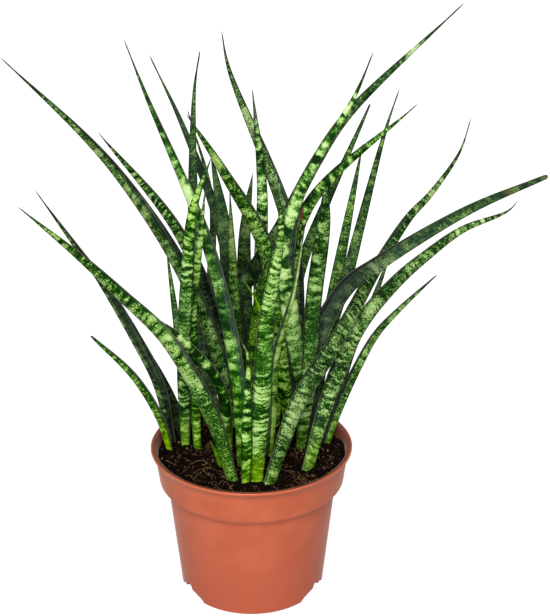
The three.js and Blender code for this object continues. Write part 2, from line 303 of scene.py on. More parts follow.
def skin(name, rings, first, last):
    """A closed skin over rings, an array of [ring, corner, xyz], with an end point at each end."""
    points = np.concatenate([[first], rings.reshape(-1, 3), [last]])
    return new_piece(name, points, *skin_faces(*rings.shape[:2]))


def repeated(points, faces):
    """Many copies of one shape in one mesh: points is [copy, point, xyz], and each copy's faces
    count on from the copy before."""
    copies, each = points.shape[:2]
    first = (np.arange(copies) * each)[:, None, None]
    counted = [(corners + first).reshape(-1, corners.shape[1]) for corners in faces]
    return points.reshape(-1, 3), *counted


def paint(piece, **values):
    """Stores one number, or one vector, for each point of the mesh under the given names."""
    for name, value in values.items():
        value = np.asarray(value, np.float32)
        kind, key_name = ("FLOAT", "value") if value.ndim == 1 else ("FLOAT_VECTOR", "vector")
        layer = piece.data.attributes.new(name, kind, "POINT")
        layer.data.foreach_set(key_name, value.ravel())


def smooth(low, high, value):
    """0 below low, 1 above high, and 3t^2 - 2t^3 between them."""
    share = np.clip((value - low) / (high - low), 0, 1)
    return share * share * (3 - 2 * share)


def finish_piece(piece, material, slot, *nodes):
    """Gives a piece its material, lets it ride on the plant and stand for CAD nodes. slot is not used.
    """
    piece.data.materials.clear()
    piece.data.materials.append(material)
    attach(piece, "root")
    if nodes:
        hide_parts(*nodes)


# %% Softened profiles
def softened(profile, steps=6):
    """A profile of [radius, height, corner size]: each corner is cut back by its size and becomes
    the quadratic curve with the corner as its middle control point."""
    profile = np.asarray(profile, float)
    points, size = profile[:, :2], profile[:, 2]
    out = [points[0]]
    for before, corner, after, cut in zip(points[:-2], points[1:-1], points[2:], size[1:-1]):
        if cut == 0:
            out.append(corner)
            continue
        start, end = corner + unit(before - corner) * cut, corner + unit(after - corner) * cut
        t = np.linspace(0, 1, steps)[:, None]
        out.extend((1 - t) ** 2 * start + 2 * t * (1 - t) * corner + t**2 * end)
    out.append(points[-1])
    return np.array(out)


def turned(name, profile, sides):
    """A solid of revolution about +Z. Each profile point is a ring."""
    rings = level_rings(profile[1:-1, 0, None], profile[1:-1, 1, None], full_turn(sides))
    return skin(name, rings, (0, 0, profile[0, 1]), (0, 0, profile[-1, 1]))


print("shape helpers ready")

# %% [markdown]
# ## Floor
#
# The plant stands on a white sweep. Only a soft shadow shows where the floor is, so one large
# plane with a barely uneven matt finish is enough. Light from the front only grazes it, and it
# would come out grey. The camera therefore also sees it glow, as a sweep that is lit from below
# does, and that glow lights nothing else.

# %% Floor
FLOOR_HALF, FLOOR_GLOW, CLOUD_SCALE = 30.0, 0.85, 6.0
PAPER_DARK, PAPER_LIGHT = (0.33, 0.33, 0.33, 1), (0.35, 0.35, 0.35, 1)
corners = np.array([(-1, -1, 0), (1, -1, 0), (1, 1, 0), (-1, 1, 0)]) * FLOOR_HALF / MM
floor = new_piece("floor", corners, np.array([[0, 1, 2, 3]]), np.zeros((0, 3), int))

floor_finish, tree, shader = new_material("floor_sweep", Roughness=0.9, Emission_Color=WHITE)
paper = blend_colours(noise(object_place(tree), CLOUD_SCALE), PAPER_DARK, PAPER_LIGHT)
seen = add_node(tree, "LightPath").outputs["Is Camera Ray"]
glow = maths("MULTIPLY", seen, FLOOR_GLOW)
fill(shader, {"Base Color": paper, "Emission Strength": glow, "Specular IOR Level": 0.1})
floor.data.materials.append(floor_finish)
print("floor", 2 * FLOOR_HALF, "m wide")

# %% [markdown]
# ## Pot
#
# The nursery pot is one thin moulding: a tapered wall, a step out to a collar, and a lip that
# flares to a flat edge. It could be a stack of cylinders with bevels, but one profile turned about
# the axis gives the true wall and every corner its own softness. The hollow follows the outside at
# an even distance, as the plastic does.

# %% Pot profile
POT_HEIGHT, POT_WALL, POT_FLOOR, POT_SIDES = 92.0, 1.0, 1.6, 192
LIP_RADIUS, LIP_HEIGHT, RIM_FLARE, BASE_CUT = 60.0, 1.3, 1.6, 0.8
BASE, STEP_FOOT, COLLAR_FOOT = (43.5, BASE_CUT), (50.4, 67.5), (55.2, 70.3)
COLLAR_TOP = (57.6, POT_HEIGHT - LIP_HEIGHT)
WALL = np.array([BASE, STEP_FOOT, COLLAR_FOOT, COLLAR_TOP, (COLLAR_TOP[0] + RIM_FLARE, POT_HEIGHT)])


def inset(distance):
    """The wall line moved inwards. A corner moves by its two stretches' unit normals over one plus
    their product, so that both stretches move by the distance."""
    along = np.diff(WALL, axis=0)
    normal = unit(np.stack([-along[:, 1], along[:, 0]], 1))
    before = np.concatenate([normal[:1], normal])
    after = np.concatenate([normal, normal[-1:]])
    joint = 1 + np.einsum("ij,ij->i", before, after)
    return WALL + distance * (before + after) / joint[:, None]


def radius_inside(distance, height):
    """The radius at a height of the wall line moved inwards."""
    line = inset(distance)
    return np.interp(height, line[:, 1], line[:, 0])


ABOVE, LIP_BLEND, LIP_EASE = 0.6, 3.2, 0.2
# each row: radius, height, corner size
outside = [
    (0, 0, 0),
    (BASE[0] - BASE_CUT, 0, 0.4),
    (*BASE, 0.4),
    (*STEP_FOOT, 1.8),
    (*COLLAR_FOOT, 1.3),
    (COLLAR_TOP[0] - LIP_EASE, COLLAR_TOP[1] - LIP_BLEND, 2.0),
    (LIP_RADIUS, COLLAR_TOP[1] + LIP_EASE, 0.5),
    (LIP_RADIUS, POT_HEIGHT, 0.4),
    (COLLAR_TOP[0], POT_HEIGHT, 0),
    (0, POT_HEIGHT, 0),
]
inner = inset(POT_WALL)
flare = (inner[4] - inner[3]) / (inner[4, 1] - inner[3, 1])
above = inner[3] + flare * (POT_HEIGHT + ABOVE - inner[3, 1])
hollow = [
    (0, POT_FLOOR, 0),
    (radius_inside(POT_WALL, POT_FLOOR), POT_FLOOR, 1.2),
    (*inner[1], 0.8),
    (*inner[2], 0.5),
    (*inner[3], 0.3),
    (*above, 0),
    (0, POT_HEIGHT + ABOVE, 0),
]
pot = turned("pot_shell", softened(outside), POT_SIDES)
pot_hollow = turned("pot_hollow", softened(hollow), POT_SIDES)
print("pot skin", len(pot.data.polygons), "faces")

# %% [markdown]
# Three low arches in the foot let the pot drain, each with a round hole behind it. Booleans cut
# them, because the moulding's edges there are crisp. The hollow is cut first, with arches one wall
# larger, so that each arch ends in a thin covered recess and doesn't open the pot.

# %% Drain arches
DRAIN_ANGLES = (-30, 90, 210)
ARCH_WIDTH, ARCH_HEIGHT, ARCH_INNER, ARCH_OUTER = 27.0, 5.5, 35.0, 50.0
HOLE_RADIUS, HOLE_FROM_AXIS, HOLE_DEPTH = 3.0, 39.5, 14.0
ARCH_STEPS, HOLE_STEPS, ARCH_BELOW = 25, 32, -2.0


def bar(name, angle, start, end, across, up):
    """A section carried along the pot's radius, from start to end, at an angle round the pot."""
    a = math.radians(angle)
    along = np.array([start, end])[:, None]
    x = along * math.cos(a) - across * math.sin(a)
    y = along * math.sin(a) + across * math.cos(a)
    rings = np.stack([x, y, up + 0 * along], -1)
    return skin(name, rings, rings[0].mean(0), rings[1].mean(0))


def arch_bar(angle, extra):
    """Half an ellipse, grown by extra, that runs from the recess out past the wall. Its two ends
    go on straight down."""
    turn = np.linspace(0, math.pi, ARCH_STEPS)[[0, *range(ARCH_STEPS), -1]]
    across, up = (ARCH_WIDTH / 2 + extra) * np.cos(turn), (ARCH_HEIGHT + extra) * np.sin(turn)
    up[[0, -1]] = ARCH_BELOW
    return bar("arch", angle, ARCH_INNER - extra, ARCH_OUTER, across, up)


def hole_bar(angle):
    """A circle at the top of an arch, through the recess's back wall."""
    turn = full_turn(HOLE_STEPS)
    start, end = HOLE_FROM_AXIS - HOLE_DEPTH / 2, HOLE_FROM_AXIS + HOLE_DEPTH / 2
    across, up = HOLE_RADIUS * np.cos(turn), HOLE_RADIUS * np.sin(turn) + ARCH_HEIGHT
    return bar("hole", angle, start, end, across, up)


def cut(piece, cutter):
    """Takes the cutter away from the piece with an exact boolean, applies it, deletes the cutter."""
    change = piece.modifiers.new("cut", "BOOLEAN")
    change.operation, change.object, change.solver = "DIFFERENCE", cutter, "EXACT"
    graph = bpy.context.evaluated_depsgraph_get()
    result = bpy.data.meshes.new_from_object(piece.evaluated_get(graph))
    piece.modifiers.clear()
    old, piece.data = piece.data, result
    bpy.data.meshes.remove(old)
    bpy.data.objects.remove(cutter)


for angle in DRAIN_ANGLES:
    cut(pot_hollow, arch_bar(angle, POT_WALL))
cut(pot, pot_hollow)
for angle in DRAIN_ANGLES:
    cut(pot, arch_bar(angle, 0))
    cut(pot, hole_bar(angle))
CRISP_ANGLE = math.radians(35)
pot.data.set_sharp_from_angle(angle=CRISP_ANGLE)
print("pot with drain arches", len(pot.data.polygons), "faces")

# %% [markdown]
# The plastic is a matt, through-dyed terracotta. Its look comes from a fine moulded grain, cloudy
# scuffs from handling and a soft sheen at the silhouettes. On top of that, the inner wall and the lip's
# top are painted darker, painted shade darkens the body towards the bottom, and a band of painted light
# under the collar's ledge hides the shadow line there.

# %% Grain shared by the finishes
grain, given, result = new_group(
    "fine_grain", {"Vector": "Vector", "Size": "Float"}, {"Mask": "Float"}
)
per_metre = maths("DIVIDE", 1.0, given["Size"])
coarse = noise(given["Vector"], per_metre, detail=3, roughness=0.6)
grain.links.new(coarse, result["Mask"])

# %% Pot finish
MOULD_GRAIN, SCUFF_SIZE, MOULD_RELIEF, MOULD_GLOSS = 0.0011, 0.024, 0.00004, (0.12, 0.36)
CLAY_DARK, CLAY_LIGHT = (0.520, 0.107, 0.044, 1), (0.595, 0.134, 0.059, 1)
SPECK_COLOUR, SPECK_SPAN, SPECK_SHARE = (0.36, 0.075, 0.034, 1), (0.66, 0.74), 0.35
# Inside the pot above 72 mm and on the lip's top, the colour is painted darker, near black brown.
INSIDE_DARK_COLOUR, INSIDE_DARK_FROM, INSIDE_DARK_EDGE = (0.085, 0.028, 0.018, 1), (0.0715, 0.0725), 0.0004
INSIDE_DARK_SHARES, SCUFF_SPAN = (0.8, 0.85), (0.3, 0.7)
# Painted shade: below 72 mm the body darkens towards the bottom, where less light reaches it.
LOWER_PAINTED_SHADE, PAINTED_SHADE_BELOW, PAINTED_SHADE_SHARE = (0.47, 0.095, 0.044, 1), 0.072, 0.95
# Painted light: a paler band at the ledge's height hides the shadow line under the collar.
LEDGE_PAINTED_LIGHT, LEDGE_HEIGHT = (0.85, 0.20, 0.090, 1), 0.0686
LEDGE_REACH, LEDGE_SHARE = (0.0014, 0.0017), 0.85
COLLAR_SPAN, COLLAR_RADII = (0.070, 0.092), (0.0545, 0.0578)
LIP_SPAN, LIP_WIDTH = (0.0917, 0.0919), 0.0017

terracotta, tree, shader = new_material("terracotta_plastic", IOR=1.49, Sheen_Weight=0.32,
                                        Sheen_Roughness=0.3, Sheen_Tint=(1.0, 0.72, 0.62, 1))
where = object_place(tree)
x, y, height = parts(where)
moulded = placed(grain, {"Vector": where, "Size": MOULD_GRAIN})["Mask"]
cloudy = placed(grain, {"Vector": where, "Size": SCUFF_SIZE})["Mask"]
squares = maths("ADD", maths("POWER", x, 2.0), maths("POWER", y, 2.0))
wall_here = step_up(height, *COLLAR_SPAN, *COLLAR_RADII)
wall_here = maths("ADD", wall_here, step_up(height, *LIP_SPAN, 0.0, LIP_WIDTH))
inwards = maths("SUBTRACT", wall_here, maths("SQRT", squares))
# The inner wall above 72 mm and the lip's top are painted near black brown.
darkened_inside = step_up(inwards, 0.0, INSIDE_DARK_EDGE)
for share in (step_up(height, *INSIDE_DARK_FROM), step_up(height, *LIP_SPAN, *INSIDE_DARK_SHARES)):
    darkened_inside = maths("MULTIPLY", darkened_inside, share)
from_ledge = maths("ABSOLUTE", maths("SUBTRACT", height, LEDGE_HEIGHT))
body = layered(CLAY_DARK, [
    (step_up(cloudy, *SCUFF_SPAN), CLAY_LIGHT),
    (step_up(moulded, *SPECK_SPAN, 0.0, SPECK_SHARE), SPECK_COLOUR),
    # the inner wall and the lip's top painted darker
    (darkened_inside, INSIDE_DARK_COLOUR),
    # painted shade, darker towards the bottom
    (step_up(height, PAINTED_SHADE_BELOW, 0.0, 0.0, PAINTED_SHADE_SHARE), LOWER_PAINTED_SHADE),
    # painted light that hides the shadow line under the ledge
    (step_up(from_ledge, *LEDGE_REACH, LEDGE_SHARE, 0.0), LEDGE_PAINTED_LIGHT),
])
surface(shader, body, moulded, MOULD_GLOSS, moulded, MOULD_RELIEF)
finish_piece(pot, terracotta, "pot", "nursery_pot")
print("pot finish ready")

# %% [markdown]
# ## Soil
#
# The mix is a dark, loose bed of peat and coir. A flat disc would look like paint, so its top is a
# height map: soft hollows and small lumps, as a sum of smooth random waves. The crumbs and fibres
# later lie on the same height map.

# %% Soil bed
SOIL_LEVEL, SOIL_GAP, SOIL_BOTTOM = 86.0, 0.3, 7.6
WAVES, LONGEST_WAVE, SHORTEST_WAVE, WAVE_SLOPE, WAVE_POWER = 46, 38.0, 2.2, 0.032, 0.72
BED_SIDES, BED_RINGS, BED_CENTRE, BED_EDGE, BED_SHADE = 300, 130, 0.4, 84.0, 0.5
rng = np.random.default_rng(41)
wave_length = np.geomspace(LONGEST_WAVE, SHORTEST_WAVE, WAVES)
wave_turn = rng.uniform(0, math.tau, WAVES)
wave_phase = rng.uniform(0, math.tau, WAVES)
wave_height = WAVE_SLOPE * wave_length**WAVE_POWER


def soil_height(x, y):
    """Soil level plus the sum of sine waves in all directions: longer waves are higher."""
    ahead = x[..., None] * np.cos(wave_turn) + y[..., None] * np.sin(wave_turn)
    return SOIL_LEVEL + (wave_height * np.sin(math.tau * ahead / wave_length + wave_phase)).sum(-1)


bed_radius = radius_inside(POT_WALL + SOIL_GAP, SOIL_LEVEL)
angle = full_turn(BED_SIDES)
radius = np.linspace(BED_CENTRE, bed_radius, BED_RINGS)[:, None]
x, y = radius * np.cos(angle), radius * np.sin(angle)
top_rings = np.stack([x, y, soil_height(x, y)], -1)
side_line = inset(POT_WALL + SOIL_GAP)
side_heights = np.array([BED_EDGE, side_line[2, 1], side_line[1, 1], SOIL_BOTTOM])[:, None]
side_rings = level_rings(radius_inside(POT_WALL + SOIL_GAP, side_heights), side_heights, angle)
centre = soil_height(np.zeros(1), np.zeros(1))[0]
soil = skin("soil_bed", np.concatenate([top_rings, side_rings]), (0, 0, centre), (0, 0, SOIL_BOTTOM))
paint(soil, shade=np.full(len(soil.data.vertices), BED_SHADE))
lowest, highest = (round(value, 1) for value in (top_rings[..., 2].min(), top_rings[..., 2].max()))
print("soil", len(soil.data.polygons), "faces, top from", lowest, "to", highest, "mm")

# %% [markdown]
# ## Leaves: the table
#
# Each leaf is a half-round blade that narrows to a point. The table holds what makes one leaf
# differ from the next, in millimetres and equal to the measured part: its width, the way its
# rounded back faces, and the points its midrib runs through. Rows come in the order of NAMES.

# %% Leaf table
CLUMPS = {"front": 6, "left": 6, "right": 11, "back": 14}
NAMES = [f"leaf_{clump}_{k + 1}" for clump, count in CLUMPS.items() for k in range(count)]
NAMES += ["shoot_middle", "shoot_left", "dry_stub"]
USUAL_TAPER = 1.6


def leaf(width, back, root, *midrib, taper=USUAL_TAPER, end=0.0):
    """width: widest, in mm. back: where the rounded back faces, in degrees from +X towards +Y.
    root: its place on the soil. midrib: the points it runs through, up to the tip. taper: how
    long the blade stays broad. end: the share of the width left at a blunt tip."""
    points = [(*root, SOIL_LEVEL), *midrib]
    return {"width": width, "back": back, "taper": taper, "end": end, "points": points}


LEAVES = dict(zip(NAMES, [
    # front clump, rooted close behind the front of the rim
    leaf(10.5, -110, (-11.5, -34.5), (-22, -34, 125), (-46, -34, 174), (-70, -34, 201), (-91, -34, 223),
         (-122, -34, 252), taper=2),
    leaf(6.5, -90, (-3.6, -38), (-3, -41, 107), (-2, -48, 146), (-2, -52, 174), (-6, -54, 184)),
    leaf(10.5, -80, (3, -36), (6, -42, 140), (9, -47, 192), (16, -54, 245), (14, -60, 271), taper=2),
    leaf(12, -65, (11, -36), (27, -16, 124), (53, 6, 159), (75, 30, 191), (94, 42, 218), (108, 54, 229),
         (126, 67, 251), (134, 80, 269), taper=1.3),
    leaf(10, -120, (-6, -14), (-9, -6, 142), (-24, 6, 214), (-57, 17, 300), (-68, 25, 328)),
    leaf(7.3, -110, (-14, 0), (-18.6, -8.4, 134), (-41, -15, 168), (-61, -21, 186), (-79, -26, 205)),
    # left clump, rooted at the left of the pot
    leaf(8, -95, (-40, 9), (-39, -2, 150), (-35, -13, 206), (-31, -20, 243), (-20, -27, 276),
         taper=3.4),
    leaf(7, -75, (-32.5, 8), (-33.5, 6.5, 132), (-33.5, 1, 176), (-28, -5, 220), (-23.8, -10, 255),
         taper=2.6),
    leaf(9, -120, (-49, 13), (-55, 8, 127), (-67, 3, 159), (-85, -2, 198), (-95, -7, 217),
         (-116, -12, 254)),
    leaf(7.5, 120, (-42, 21), (-49, 21, 110), (-63, 20, 143), (-81, 20, 178)),
    leaf(6.2, -120, (-50, 5), (-54, 2, 106), (-68, -3, 137), (-91, -8, 166), taper=2.6, end=0.25),
    leaf(5, 90, (-34, 32), (-41, 34, 115), (-45, 39, 156), (-50, 44, 202), taper=2.6),
    # right clump, rooted at the right of the pot
    leaf(12, -60, (34, -18), (46, 4, 118), (65, 23, 156), (88, 40, 178), (106, 49, 191), (129, 58, 205),
         (157, 66, 214), (165, 75, 218), taper=1.8),
    leaf(6.8, -65, (46, 10), (54, 19, 106), (66, 28, 130), (77, 37, 146), (91, 46, 158), (114, 55, 177),
         taper=1.8, end=0.12),
    leaf(9.5, -85, (30, 7), (34, 3, 131), (36, -4, 183), (41, -12, 237), (41, -14, 254), taper=7,
         end=0.2),
    leaf(5.4, -70, (11, -4), (13, -8, 120), (14, -11, 152), (24, -17, 195), (30, -22, 238)),
    leaf(8, 80, (38, 33), (42, 43, 119), (49, 52, 155), (69, 80, 254), taper=2.4),
    leaf(8.5, 75, (38, 22), (44, 34, 134), (60, 45, 187), (66, 56, 206), (81, 68, 264), (90, 80, 287)),
    leaf(12.5, 100, (34, 14), (38, 8, 154), (54, 0, 192), (72, -8, 210), (118, -17, 243),
         (155, -40, 269), taper=1.2, end=0.22),
    leaf(7, 80, (46, 20), (60, 36, 133), (75, 48, 164), (88, 60, 198)),
    leaf(5, -90, (21, 32.3), (23, 31, 145), (27, 31, 195), (30.5, 31, 229), end=0.3),
    leaf(10.5, -100, (29.5, 36), (28, 45, 140), (24, 63, 204), (-12, 84, 299), (-16, 90, 320), taper=2),
    leaf(10.8, -85, (32, 25), (31, 25, 118), (25, 22, 157), (21, 19, 195), (27.6, 14, 241),
         (58, 10, 300), (67, 8, 324)),
    # back clump, rooted behind the middle of the pot
    leaf(11.5, -115, (-9, 30), (-23, 29, 145), (-44, 28, 199), (-72, 28, 246), (-92, 27, 272),
         (-136, 26, 318), taper=1.5),
    leaf(10.5, -130, (-14.5, 43.5), (-22, 50, 149), (-44, 54, 207), (-89, 60, 267), taper=2.6),
    leaf(8.5, 110, (-1, 32), (-6, 33, 140), (-17, 36, 213), (-38, 41, 275), (-56, 46, 315)),
    leaf(8.7, 95, (-27, 39), (-32, 38, 163), (-33, 34, 212), (-30, 18, 300), (-26, 10, 325)),
    leaf(6, 100, (-23, 44.5), (-26, 57, 146), (-23.3, 72, 221), (-37, 84, 274)),
    leaf(11.5, -110, (24, 28), (17, 27.5, 138), (9.4, 24, 204), (-15.4, 19, 255), (-34.5, 14, 289),
         taper=2.6),
    leaf(8.9, 95, (-6, 22.5), (-11, 24, 150), (-15, 25, 221), (-19, 28, 246), (-22, 32, 262),
         taper=4.6),
    leaf(8, -90, (-5, 16), (-8, 11, 155), (-10, 8, 205), (-11, 6, 248), taper=2.2),
    leaf(8.4, -90, (6.7, 48.5), (6, 57, 174), (7.5, 64, 230), (2, 70, 290), taper=2.8),
    leaf(9.6, 90, (-3, 42), (-3.5, 61, 147), (-3, 68, 203), (2, 75, 237), taper=3.6),
    leaf(9.8, -80, (-12.5, 50.5), (-12, 53, 150), (19.3, 47, 212), (39, 42, 253), (56, 33, 283),
         (113, 0, 351)),
    leaf(8, 85, (14, 46), (25, 61, 148), (33, 71, 182), (74, 95, 274), taper=1.8, end=0.15),
    leaf(10.3, -80, (14.5, 34), (20, 42, 159), (35, 53, 222), (100, 68, 281), taper=1.9),
    leaf(9, -90, (4, 6), (0, 6, 114), (5, 11, 179), (14, 16, 214), taper=2.4),
    # young shoots and one dead stub
    leaf(5, -90, (-1, -2), (5, -3, 122), (5, -4, 180), (-5, -4, 200)),
    leaf(3.5, -90, (-18, -17), (-21, -17, 95), (-24, -17, 103)),
    leaf(3.5, -90, (-19, 24), (-19, 23, 102), (-21, 22, 113)),
], strict=True))
print(len(LEAVES), "leaves")

# %% [markdown]
# ## Leaves: the shape
#
# The midrib is a smooth curve, and the outline across the leaf is half an ellipse at the back with
# a shallow channel in front. A Bezier object with a bevel could sweep such an outline, but it can't
# fill in the channel near the tip or record where each point lies on the blade. Rings that are
# computed directly do both.

# %% Midrib
LEAF_BURIED = 7.0


def midrib(points, steps=60):
    """A centripetal Catmull-Rom curve through the points. Each stretch is a cubic whose end slopes
    come from its neighbours, weighted by the square roots of the distances between them."""
    p = np.asarray(points, float)
    p = np.concatenate([[2 * p[0] - p[1]], p, [2 * p[-1] - p[-2]]])
    gap = np.sqrt(np.linalg.norm(np.diff(p, axis=0), axis=1))[:, None]
    before, here, after = gap[:-2], gap[1:-1], gap[2:]
    p0, p1, p2, p3 = p[:-3], p[1:-2], p[2:-1], p[3:]
    slope_1 = ((p1 - p0) / before - (p2 - p0) / (before + here) + (p2 - p1) / here) * here
    slope_2 = ((p2 - p1) / here - (p3 - p1) / (here + after) + (p3 - p2) / after) * here
    t = (np.arange(steps) / steps)[:, None, None]
    square = -3 * p1 + 3 * p2 - 2 * slope_1 - slope_2
    cube = 2 * p1 - 2 * p2 + slope_1 + slope_2
    curve = p1 + slope_1 * t + square * t**2 + cube * t**3
    return np.concatenate([curve.transpose(1, 0, 2).reshape(-1, 3), p[-2:-1]])


def at_shares(curve, shares):
    """Points and unit directions at the given shares of the curve's length, and that length."""
    lengths = np.linalg.norm(np.diff(curve, axis=0), axis=1)
    walked = np.concatenate([[0], np.cumsum(lengths)])
    slope = np.gradient(curve, walked, axis=0)
    centre, forward = (
        np.stack([np.interp(shares * walked[-1], walked, part[:, k]) for k in range(3)], 1)
        for part in (curve, slope)
    )
    return centre, unit(forward), walked[-1]


# %% Outline across the leaf
WIDEST_AT, BASE_SHARE, MID_DEPTH, BACK_DEPTH = 0.28, 0.68, 0.2, 0.41
ROUND_TIP_FROM, CHANNEL_DEPTH, TIP_DEPTH = 0.75, 0.14, -0.05
BACK_COLUMNS, CHANNEL_COLUMNS, THORN_WIDTH, THORN_LENGTH = 19, 11, 0.9, 5.0
turn = np.linspace(-math.pi / 2, math.pi / 2, BACK_COLUMNS)
channel_across = np.linspace(0.5, -0.5, CHANNEL_COLUMNS + 2)[1:-1]
across_shares = np.concatenate([0.5 * np.sin(turn), channel_across])
back_shares = np.concatenate([BACK_DEPTH * np.cos(turn), 0 * channel_across])
channel_shares = np.concatenate([0 * turn, 1 - 4 * channel_across**2])
on_channel = np.concatenate([0 * turn, np.ones(CHANNEL_COLUMNS)])


def blade_width(row, along, to_tip):
    """A narrow neck in the soil, widest low down, then a taper to a hard thread-like thorn, which
    closes with the square root of the distance to the tip."""
    neck = BASE_SHARE + (1 - BASE_SHARE) * smooth(0, WIDEST_AT, along)
    fall = np.clip((along - WIDEST_AT) / (1 - WIDEST_AT), 0, 1)
    blade = row["width"] * neck * (1 - (1 - row["end"]) * fall ** row["taper"])
    return np.maximum(blade, THORN_WIDTH * np.sqrt(np.clip(to_tip / THORN_LENGTH, 0, 1)))


RING_SPACING, FEWEST_RINGS, MOST_RINGS = 1.7, 40, 170
CAP_LENGTH, CAP_RINGS, FINE_TIP = 0.6, 4, 0.04


def ring_shares(row, length):
    """Where the rings lie, and how much a blunt tip has rounded off there: the cosine of an angle
    that runs from 0 to a right angle over the last stretch."""
    count = int(np.clip(length / RING_SPACING, FEWEST_RINGS, MOST_RINGS))
    cap = CAP_LENGTH * row["width"] * max(row["end"], FINE_TIP) / length
    body = np.linspace(0, 1 - cap, count)
    if not row["end"]:
        return body, np.ones(count)
    bend = np.linspace(0, math.pi / 2, CAP_RINGS + 2)[1:-1]
    shares = np.concatenate([body, 1 - cap * (1 - np.sin(bend))])
    return shares, np.concatenate([np.ones(count), np.cos(bend)])


# %% [markdown]
# ## Leaves: the looks
#
# No two blades are marked alike: some carry bold bars, some are mostly speckled, and many have
# pale patches. Each could have a finish of its own. Here a look is a short list of amounts, stored
# on the mesh's points, so that one finish serves all. A zone changes one amount around a place.

# %% Looks of the leaves
FOOT_REACH = 30.0
USUAL = {"pale": 0, "rust": 0, "tone": 1, "fresh": 0.3, "foot": 0.3, "groove": 0.9, "dark": 0}


def look(period=5.0, bands=0.9, speckle=0.8, *zones, dry=12.0, **changed):
    """period: from band to band, in mm. bands, speckle: how strongly each shows. zones: (amount, share
    of the leaf's length, half length as a share, change). dry: the dried tip, in mm. Also pale and
    rust: how far the colour goes to pale green or to dry brown. tone: brightness, partly painted light
    and shade. fresh: saturation. foot: yellow-green near the soil. groove: how far the channel is
    painted dark purple, its own colour deepened by painted shade. dark: the share of the width at one
    margin that is painted shade, on the other margin if below 0."""
    amounts = {"period": period, "bands": bands, "speckle": speckle, **USUAL, **changed}
    return {"amounts": amounts, "dry": dry, "zones": zones}
